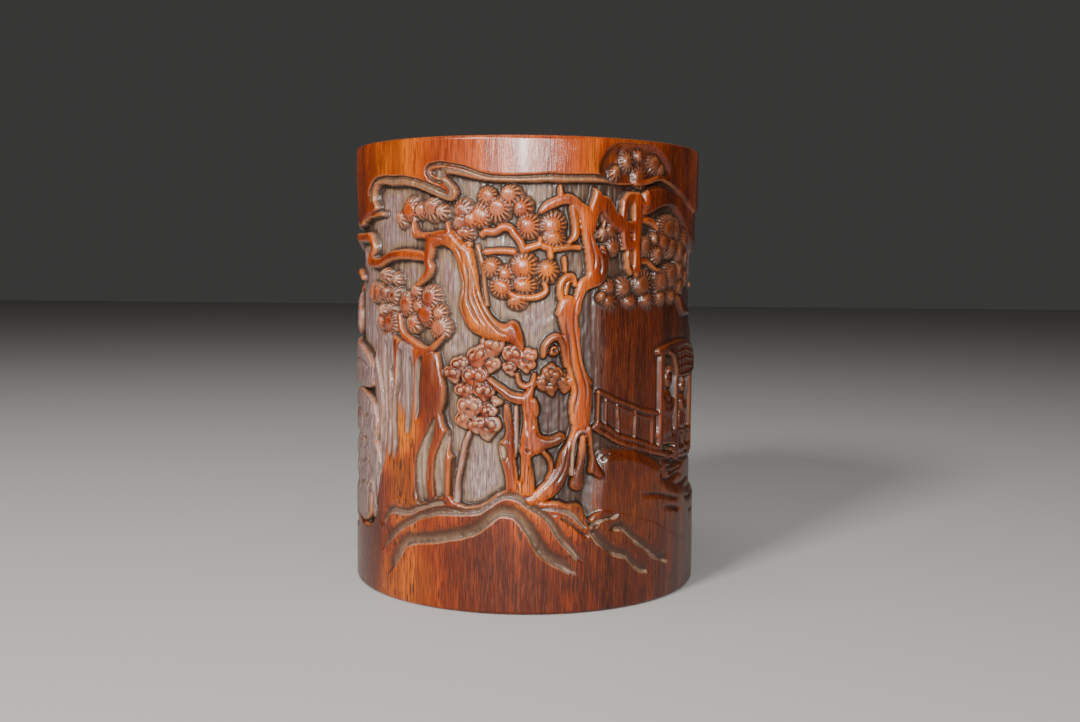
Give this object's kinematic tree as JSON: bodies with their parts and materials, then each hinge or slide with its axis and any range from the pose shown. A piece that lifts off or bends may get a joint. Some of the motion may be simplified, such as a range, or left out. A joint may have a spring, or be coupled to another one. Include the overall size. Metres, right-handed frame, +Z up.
{
  "type": "brush holder pot",
  "caption": "Cylindrical bamboo pot for standing writing brushes, its wall carved all round in relief with rocks, pines and a pavilion, on an inset wooden base board",
  "frame": {"origin": "centre of the foot circle, on the surface the pot stands on", "axes": "+Z up along the culm's axis, -Y towards the viewer of the carved scene's middle"},
  "size_m": [0.116, 0.116, 0.1445],
  "materials": {
    "bamboo": "polished, patinated",
    "board_wood": "oiled",
    "lacquer": "glossy"
  },
  "bodies": {
    "root": {"culm": "bamboo", "base_board": "board_wood", "lacquer_bead": "lacquer"}
  },
  "joints": []
}
